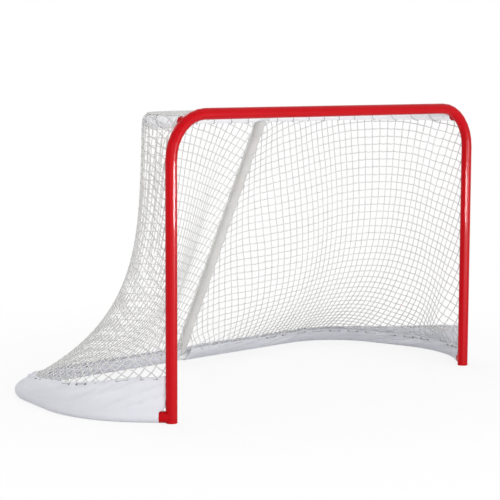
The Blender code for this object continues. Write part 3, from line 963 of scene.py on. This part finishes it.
class Panel:
    """A hung panel: the surface it follows, and the flat net that is laid on it.

    The flat net is a square mesh. Its upright cord on the goal's corner hangs straight down, and the
    panel opens like a fan on either side of it, so the level cords arch over the corner. The side
    panel runs from the post to the corner, and the back one, which is turned, from there to the strut.
    """

    def __init__(self, side, high, low, high_span, low_span, low_corner, fall, folds, fan, turned):
        self.side = side
        self.high = high
        self.low = low
        self.high_span = high_span
        self.low_span = low_span
        self.low_corner = low_corner
        self.fall = fall
        self.folds = folds
        self.fan = fan
        self.turned = turned
        self.reach = abs(high_span[1] - high_span[0]) / fan
        self.table = [self.hang(step / NET_STEPS_ACROSS) for step in range(NET_STEPS_ACROSS + 1)]

    def hang(self, share):
        """Points at even lengths down the panel, and the whole length.

        The net starts on top of the sleeve, goes over its outer side, hangs down to the outer flap's
        edge and is tucked down behind the inner flap. Near the strut it is laced to the strut's line.
        """
        start, end = self.high_span
        tube, heading = self.high.at(start + (end - start) * share)
        away = outward(heading, self.side)
        around = SLEEVE_RADIUS + NET_CORD / 2 + SEAM_GAP
        start, end = self.low_span
        distance = start + (end - start) * share
        section = Section(distance, self.low_corner)
        foot = beside_tube(self.low, distance, self.side, section.apex.x, section.apex.y)
        spot = section.eyelet(-1, -CLOTH_THICKNESS / 2 - HEM_CORD / 2)
        tuck = beside_tube(self.low, distance, self.side, spot.x, spot.y)
        line = []
        for step in range(NET_WRAP_STEPS):
            turn = NET_WRAP_TURN * (1 - step / NET_WRAP_STEPS)
            line.append(tube + away * around * math.cos(turn) + UP * around * math.sin(turn))
        top = tube + away * around
        laced = ease((share - 1 + NET_LACED_SHARE) / NET_LACED_SHARE) if self.turned else 0.0
        ripple = math.sin(2 * math.pi * self.folds * share) * math.sin(math.pi * share) * FOLD_DEPTH
        for step in range(NET_STEPS_DOWN + 1):
            drop = step / NET_STEPS_DOWN
            point = net_point(top, foot, drop, *self.fall(share, drop, top, foot))
            point += away * ripple * ease(drop / FOLD_START) * (1 - drop) ** 2
            hold = laced * ease(drop / NET_LACED_DROP) * ease((1 - drop) / NET_LACED_DROP)
            point.y += (strut_depth(point.z) - point.y) * hold
            line.append(point)
        for step in range(1, NET_TUCK_STEPS + 1):
            line.append(foot.lerp(tuck, step / NET_TUCK_STEPS))
        total = [0.0]
        for here, there in zip(line, line[1:]):
            total.append(total[-1] + (there - here).length)
        even = []
        index = 1
        for step in range(NET_STEPS_DOWN + 1):
            goal = total[-1] * step / NET_STEPS_DOWN
            while index < len(line) - 1 and total[index] < goal:
                index += 1
            part = (goal - total[index - 1]) / (total[index] - total[index - 1])
            even.append(line[index - 1].lerp(line[index], part))
        return even, total[-1]

    def along(self, share, fraction):
        """The point at a share of the width and a fraction of the length down."""
        across = min(1.0, max(0.0, share)) * NET_STEPS_ACROSS
        column = min(NET_STEPS_ACROSS - 1, int(across))
        down = min(1.0, max(0.0, fraction)) * NET_STEPS_DOWN
        row = min(NET_STEPS_DOWN - 1, int(down))
        near, far = self.table[column][0], self.table[column + 1][0]
        upper = near[row].lerp(far[row], across - column)
        lower = near[row + 1].lerp(far[row + 1], across - column)
        return upper.lerp(lower, down - row)

    def length(self, share):
        across = min(1.0, max(0.0, share)) * NET_STEPS_ACROSS
        column = min(NET_STEPS_ACROSS - 1, int(across))
        near, far = self.table[column][1], self.table[column + 1][1]
        return near + (far - near) * (across - column)

    def lay(self, spot):
        """Where a spot of the flat net comes to lie, or None past the panel's edge.

        A spot is (from the corner, down from the shelf), in metres.
        """
        aside, down = spot
        angle = math.atan2(abs(aside), down + self.reach)
        away = math.hypot(aside, down + self.reach) - self.reach
        share = angle / self.fan
        if not self.turned:
            share = 1.0 - share
        if angle > self.fan or away < 0 or away > self.length(share):
            return None
        return self.along(share, away / self.length(share))

    def edge(self, inside, outside):
        """The last spot on the panel between two spots."""
        for _ in range(CLIP_STEPS):
            between = ((inside[0] + outside[0]) / 2, (inside[1] + outside[1]) / 2)
            if self.lay(between) is None:
                outside = between
            else:
                inside = between
        return inside


def knot_spot(column, row, side):
    """A knot of the flat net, a little off its square."""
    jog = noise.noise_vector(Vector((column * NET_COLUMN_JOG, row * NET_ROW_JOG, side * NETS_APART)))
    aside = 0.0 if column == 0 else jog.x * NET_UNEVEN
    return (column * NET_PITCH + aside, row * NET_PITCH + jog.y * NET_UNEVEN)


def runs_of(panel, spots):
    """The stretches of a cord that lie on a panel, each as its spots and whether each is a knot."""
    runs = []
    run = []
    before = None
    for spot in spots:
        inside = panel.lay(spot) is not None
        if inside and not run and before is not None:
            run.append((panel.edge(spot, before), False))
        if inside:
            run.append((spot, True))
        elif run:
            run.append((panel.edge(run[-1][0], spot), False))
            runs.append(run)
            run = []
        before = spot
    if run:
        runs.append(run)
    return [run for run in runs if len(run) > 1]


def net_cord_line(panel, run, sag, knots):
    """Points and radii of one cord: thick at its knots, and slack between them where it runs level."""
    thin = NET_CORD / 2
    line = []
    radii = []
    for index, (spot, knot) in enumerate(run):
        here = panel.lay(spot)
        thick = NET_KNOT / 2 if knot and knots else thin
        if index:
            before = run[index - 1][0]
            half = panel.lay(((spot[0] + before[0]) / 2, (spot[1] + before[1]) / 2))
            if half is not None:
                line.append(half - UP * sag)
                radii.append(thin)
            if knots:
                line.append(here.lerp(line[-1], NET_KNOT_BEFORE))
                radii.append(thin)
        line.append(here)
        radii.append(thick)
        if knots and index < len(run) - 1:
            after = run[index + 1][0]
            line.append(here.lerp(panel.lay(after), NET_KNOT_AFTER))
            radii.append(thin)
    return line, radii


def hem_line(panel, shares, fractions):
    """A line along a panel's edge, between two shares of its width and two fractions of its length."""
    steps = math.ceil(HEM_LONGEST / HEM_STEP)
    line = []
    for step in range(steps + 1):
        part = step / steps
        share = shares[0] + (shares[1] - shares[0]) * part
        fraction = fractions[0] + (fractions[1] - fractions[0]) * part
        line.append(panel.along(share, fraction))
    return line


def knotted_panel(name, node, panel, outer_share, columns, side):
    """Level and upright cords of one panel, with a hem on its shelf, ground and outer edges."""
    net = Strands()
    widest = round(2 * max(column_length for _, column_length in panel.table) / NET_PITCH)
    for row in range(-NET_ROWS_OVER, widest):
        spots = [knot_spot(column, row, side) for column in columns]
        for run in runs_of(panel, spots):
            line, radii = net_cord_line(panel, run, SLACK, False)
            net.cord(line, radii, LEVEL_CORD_SIDES)
    for column in columns:
        if column == 0 and columns.step > 0:
            continue
        spots = [knot_spot(column, row, side) for row in range(-NET_KNOTS_OVER, widest)]
        for run in runs_of(panel, spots):
            line, radii = net_cord_line(panel, run, 0.0, True)
            net.cord(line, radii)
    edges = (((0, 1), (0, 0)), ((0, 1), (1, 1)), ((outer_share, outer_share), (0, 1)))
    for shares, fractions in edges:
        line = hem_line(panel, shares, fractions)
        net.cord(line, [HEM_CORD / 2] * len(line))
    piece = net.piece(name, FINISHES["net_cord"], "net_cord")
    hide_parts(node)


def hung_nets(label, side):
    low = ground_route(side, FOOT_SOCKET_REACH + JOINT_GAP, NET_GAP_AT_STRUT)
    front = POST_RADIUS + SEAM_GAP + HEM_CORD / 2
    high = shelf_route(side, front, NET_GAP_AT_STRUT, REAR_TOP.z)
    low_corner = low.nearest(ground_corner(side))
    high_corner = high.nearest(Vector((side * SHELF_X, REAR_TOP.y, REAR_TOP.z)))
    side_panel = Panel(
        side, high, low, (0.0, high_corner), (0.0, low_corner), low_corner, side_fall, FOLDS_ACROSS,
        SIDE_NET_FAN, False,
    )
    back_panel = Panel(
        side, high, low, (high_corner, high.length), (low_corner, low.length), low_corner, back_fall,
        FOLDS_ACROSS / 2, BACK_NET_FAN, True,
    )
    most = round(NET_WIDTH_MOST / NET_PITCH)
    forward, inward = range(0, -most, -1), range(0, most, 1)
    knotted_panel(label + "_side_netting", label + "_side_net", side_panel, 0.0, forward, side)
    knotted_panel(label + "_back_netting", label + "_back_net", back_panel, 1.0, inward, side)


def top_netting():
    """A flat square net over the shelf, from the crossbar back to the sleeves."""
    net = Strands()
    front = MOUTH_Y + CROSSBAR_RADIUS + SEAM_GAP + HEM_CORD / 2
    height = REAR_TOP.z + SLEEVE_RADIUS + SEAM_GAP + HEM_CORD / 2
    bend_x = SHELF_X - TOP_CORNER_RADIUS
    bend_y = REAR_TOP.y - TOP_CORNER_RADIUS

    def rear(x):
        past = max(0.0, abs(x) - bend_x)
        return bend_y + math.sqrt(max(0.0, TOP_CORNER_RADIUS ** 2 - past ** 2))

    def lay(x, y):
        sag = TOP_NET_SAG * math.cos(math.pi * x / SHELF_X / 2)
        sag *= math.sin(math.pi * (y - front) / (REAR_TOP.y - front))
        jog = noise.noise_vector(Vector((x * TOP_NET_JOG, y * TOP_NET_JOG, TOP_NET_APART))) * NET_UNEVEN
        return Vector((x + jog.x, y + jog.y, height - sag))

    across = int(SHELF_X / NET_PITCH)
    for column in range(-across, across + 1):
        x = column * NET_PITCH
        steps = max(2, round((rear(x) - front) / NET_PITCH * 2))
        line = [lay(x, front + (rear(x) - front) * step / steps) for step in range(steps + 1)]
        net.cord(line, [NET_CORD / 2] * len(line))
    for row in range(1, int((REAR_TOP.y - front) / NET_PITCH) + 1):
        y = front + row * NET_PITCH
        past = max(0.0, y - bend_y)
        half = bend_x + math.sqrt(max(0.0, TOP_CORNER_RADIUS ** 2 - past ** 2))
        steps = round(4 * half / NET_PITCH)
        line = [lay(half * (2 * step / steps - 1), y) for step in range(steps + 1)]
        net.cord(line, [NET_CORD / 2] * len(line), LEVEL_CORD_SIDES)
    steps = round(2 * SHELF_X / HEM_STEP)
    places = [SHELF_X * (2 * step / steps - 1) for step in range(steps + 1)]
    for line in (
        [Vector((x, front, height)) for x in places],
        [Vector((x, rear(x), height)) for x in places],
    ):
        net.cord(line, [HEM_CORD / 2] * len(line))
    piece = net.piece("top_netting", FINISHES["net_cord"], "net_cord")
    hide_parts("top_net")


# Camera, floor and light


def camera():
    heading = Vector((
        math.sin(CAMERA_YAW) * math.cos(CAMERA_PITCH),
        math.cos(CAMERA_YAW) * math.cos(CAMERA_PITCH),
        math.sin(CAMERA_PITCH),
    ))
    level = heading.cross(UP).normalized()
    over = level.cross(heading)
    right = level * math.cos(CAMERA_ROLL) + over * math.sin(CAMERA_ROLL)
    top = over * math.cos(CAMERA_ROLL) - level * math.sin(CAMERA_ROLL)
    data = bpy.data.cameras.new("camera")
    data.sensor_width = SENSOR_WIDTH
    data.lens = CAMERA_FOCAL_PIXELS / PICTURE_PIXELS * SENSOR_WIDTH
    eye = bpy.data.objects.new("camera", data)
    turn = Matrix((right, top, -heading)).transposed().to_4x4()
    eye.matrix_world = Matrix.Translation(CAMERA_PLACE) @ turn
    bpy.context.scene.collection.objects.link(eye)
    bpy.context.scene.camera = eye


def area_light(name, place, target, size, power, gloss_only):
    data = bpy.data.lights.new(name, "AREA")
    data.shape = "RECTANGLE"
    data.size, data.size_y = size
    data.energy = power
    lamp = bpy.data.objects.new(name, data)
    lamp.location = place
    lamp.rotation_euler = (Vector(target) - Vector(place)).to_track_quat("-Z", "Y").to_euler()
    lamp.visible_diffuse = not gloss_only
    bpy.context.scene.collection.objects.link(lamp)


def studio():
    scene = bpy.context.scene
    scene.view_settings.view_transform = "Standard"
    world = bpy.data.worlds.new("studio")
    scene.world = world
    world.use_nodes = True
    air = Mixture(world.node_tree)
    background = world.node_tree.nodes["Background"]
    background.inputs["Color"].default_value = (1, 1, 1, 1)
    background.inputs["Strength"].default_value = WORLD_STRENGTH
    white = air.node("Background", {}, {"Color": (1, 1, 1, 1)})
    lit = Value(air, background.outputs[0])
    shown = air.node("MixShader", {}, {0: air.seen(), 1: lit, 2: white})
    air.feed(world.node_tree.nodes["World Output"].inputs["Surface"], shown)
    for lamp in LAMPS:
        area_light(*lamp)


def floor():
    mesh = bpy.data.meshes.new("floor")
    corners = [(x * FLOOR_HALF, y * FLOOR_HALF, 0) for x, y in ((-1, -1), (1, -1), (1, 1), (-1, 1))]
    mesh.from_pydata(corners, [], [(0, 1, 2, 3)])
    ground = bpy.data.objects.new("floor", mesh)
    ground.location.z = -FLOOR_DROP
    bpy.context.scene.collection.objects.link(ground)
    finish = Finish("floor_paper", Base_Color=(0.92, 0.92, 0.92, 1.0), Roughness=0.9)
    reach = finish.node("VectorMath", {"operation": "LENGTH"}, {0: finish.place}, "Value")
    far = finish.ramp(reach * (1 / FLOOR_SHADOW_END), FLOOR_SHADOW_START / FLOOR_SHADOW_END, 1.0)
    white_share = FLOOR_WHITE_SHARE + far * (1 - FLOOR_WHITE_SHARE)
    white = finish.node("Emission", {}, {"Color": (1, 1, 1, 1)})
    paper = Value(finish, finish.shader.outputs[0])
    shown = finish.node("MixShader", {}, {0: finish.seen() * white_share, 1: paper, 2: white})
    finish.feed(finish.tree.nodes["Material Output"].inputs["Surface"], shown)
    mesh.materials.append(finish.material)


noise.seed_set(NOISE_SEED)
camera()
studio()
floor()
finish_frame()
for label, side in SIDES.items():
    skirt(label, side)
    shelf_sleeve(label, side)
    hung_nets(label, side)
strut_pad()
top_netting()
